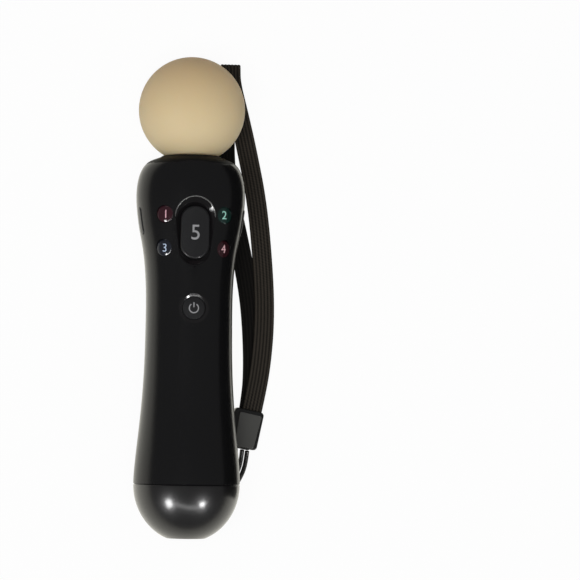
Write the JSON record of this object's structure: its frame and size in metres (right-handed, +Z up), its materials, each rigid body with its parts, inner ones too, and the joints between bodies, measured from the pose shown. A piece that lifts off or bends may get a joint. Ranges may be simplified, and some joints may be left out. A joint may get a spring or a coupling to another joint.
{
  "type": "motion controller wand",
  "caption": "Black hand-held motion wand with a soft light ball on its end, push buttons, a rear trigger and a webbing wrist strap, lying on its back",
  "frame": {"origin": "the middle of the wand's footprint, on the surface that it lies on", "axes": "+Y along the wand from its bottom cap to its ball, +Z up out of the face with the buttons, +X to the right seen from above with the ball away from the viewer; the strap lies on the +X side"},
  "size_m": [0.0612, 0.2, 0.0442],
  "materials": {
    "body_black": "satin black, softly reflecting",
    "cap_black": "glossy black",
    "ball_soft": "soft translucent beige, matt",
    "inner_plastic": "plain moulded plastic",
    "lamp_clear": "milky light-spreading plastic",
    "board_green": "lacquered circuit board",
    "chip_black": "moulded chip plastic",
    "lamp_chip": "pale lamp chip",
    "button_black": "satin black",
    "button_lens": "clear smoked dome",
    "core_maroon": "dark maroon",
    "core_green": "dark blue-green",
    "core_blue": "dark grey-blue",
    "core_red": "dark red-maroon",
    "rubber_grey": "plain silicone rubber",
    "battery_wrap": "film-wrapped cell",
    "motor_steel": "plain drawn metal",
    "weight_steel": "sintered metal",
    "contact_gold": "plated contact",
    "plunger_white": "white plunger",
    "screw_steel": "zinc-plated screw",
    "cable_grey": "flat cable",
    "cable_red": "insulated lead",
    "webbing_grey": "ribbed dark grey-brown webbing",
    "cord_black": "round black cord",
    "slider_black": "black moulded plastic",
    "plate_grey": "bare dark grey plate"
  },
  "bodies": {
    "wand": {"front_shell": "body_black", "rear_shell": "body_black", "bottom_cap": "cap_black", "ball": "ball_soft", "ball_collar": "inner_plastic", "inner_frame": "inner_plastic", "trigger_bracket": "inner_plastic", "light_diffuser": "lamp_clear", "status_lens": "lamp_clear", "lamp_board": "board_green", "main_board": "board_green", "button_board": "board_green", "connector_board": "board_green", "board_chips": "chip_black", "side_switches": "chip_black", "reset_switch": "chip_black", "lamp_chips": "lamp_chip", "button_pad": "rubber_grey", "motor_boot": "rubber_grey", "trigger_pad": "rubber_grey", "battery": "battery_wrap", "motor_can": "motor_steel", "charge_socket": "motor_steel", "accessory_socket": "motor_steel", "trigger_pin": "motor_steel", "trigger_spring": "motor_steel", "charge_contacts": "contact_gold", "case_screws": "screw_steel", "board_screws": "screw_steel", "button_board_screws": "screw_steel", "bracket_screws": "screw_steel", "ribbon_cable": "cable_grey", "battery_lead": "cable_red", "strap_webbing": "webbing_grey", "strap_cord": "cord_black", "strap_end": "slider_black"},
    "move_button": {"move_button": "button_black"},
    "face_button_1": {"face_lens_1": "button_lens", "face_core_1": "core_maroon"},
    "face_button_2": {"face_lens_2": "button_lens", "face_core_2": "core_green"},
    "face_button_3": {"face_lens_3": "button_lens", "face_core_3": "core_blue"},
    "face_button_4": {"face_lens_4": "button_lens", "face_core_4": "core_red"},
    "home_button": {"home_button": "button_black"},
    "left_button": {"left_button": "button_black"},
    "right_button": {"right_button": "button_black"},
    "trigger": {"trigger": "button_black"},
    "rumble_weight": {"motor_weight": "weight_steel"},
    "reset_plunger": {"reset_plunger": "plunger_white"},
    "slider": {"strap_slider": "slider_black", "slider_plate": "plate_grey"}
  },
  "joints": [
    {"name": "move_button_press", "type": "slide", "parent": "wand", "child": "move_button", "axis": [0, 0, -1], "range_m": [0, 0.001], "stiffness_N_per_m": 700, "springref_m": -0.0008},
    {"name": "face_button_1_press", "type": "slide", "parent": "wand", "child": "face_button_1", "axis": [0.474, 0, -0.8805], "range_m": [0, 0.0008], "stiffness_N_per_m": 600, "springref_m": -0.0008},
    {"name": "face_button_2_press", "type": "slide", "parent": "wand", "child": "face_button_2", "axis": [-0.474, 0, -0.8805], "range_m": [0, 0.0008], "stiffness_N_per_m": 600, "springref_m": -0.0008},
    {"name": "face_button_3_press", "type": "slide", "parent": "wand", "child": "face_button_3", "axis": [0.5833, 0, -0.8122], "range_m": [0, 0.0008], "stiffness_N_per_m": 600, "springref_m": -0.0008},
    {"name": "face_button_4_press", "type": "slide", "parent": "wand", "child": "face_button_4", "axis": [-0.5833, 0, -0.8122], "range_m": [0, 0.0008], "stiffness_N_per_m": 600, "springref_m": -0.0008},
    {"name": "home_button_press", "type": "slide", "parent": "wand", "child": "home_button", "axis": [0, 0, -1], "range_m": [0, 0.0008], "stiffness_N_per_m": 600, "springref_m": -0.0008},
    {"name": "left_button_press", "type": "slide", "parent": "wand", "child": "left_button", "axis": [1, 0, 0], "range_m": [0, 0.0008], "stiffness_N_per_m": 600, "springref_m": -0.0008},
    {"name": "right_button_press", "type": "slide", "parent": "wand", "child": "right_button", "axis": [-1, 0, 0], "range_m": [0, 0.0008], "stiffness_N_per_m": 600, "springref_m": -0.0008},
    {"name": "trigger_pull", "type": "hinge", "parent": "wand", "child": "trigger", "pos_m": [0, 0.04451, 0.0116], "axis": [-1, 0, 0], "range_deg": [0, 11], "stiffness_Nm_per_rad": 0.1, "springref_deg": -25.78, "deforming": ["trigger_spring", "trigger_pad"]},
    {"name": "rumble_spin", "type": "hinge", "parent": "wand", "child": "rumble_weight", "pos_m": [0, 0.00121, 0.0145], "axis": [0, 1, 0], "continuous": true},
    {"name": "reset_press", "type": "slide", "parent": "wand", "child": "reset_plunger", "axis": [0, 0, 1], "range_m": [0, 0.0003], "stiffness_N_per_m": 1000, "springref_m": -0.0005},
    {"name": "slider_run", "type": "slide", "parent": "wand", "child": "slider", "axis": [0.2036, 0.979, 0], "range_m": [0, 0.003]}
  ]
}
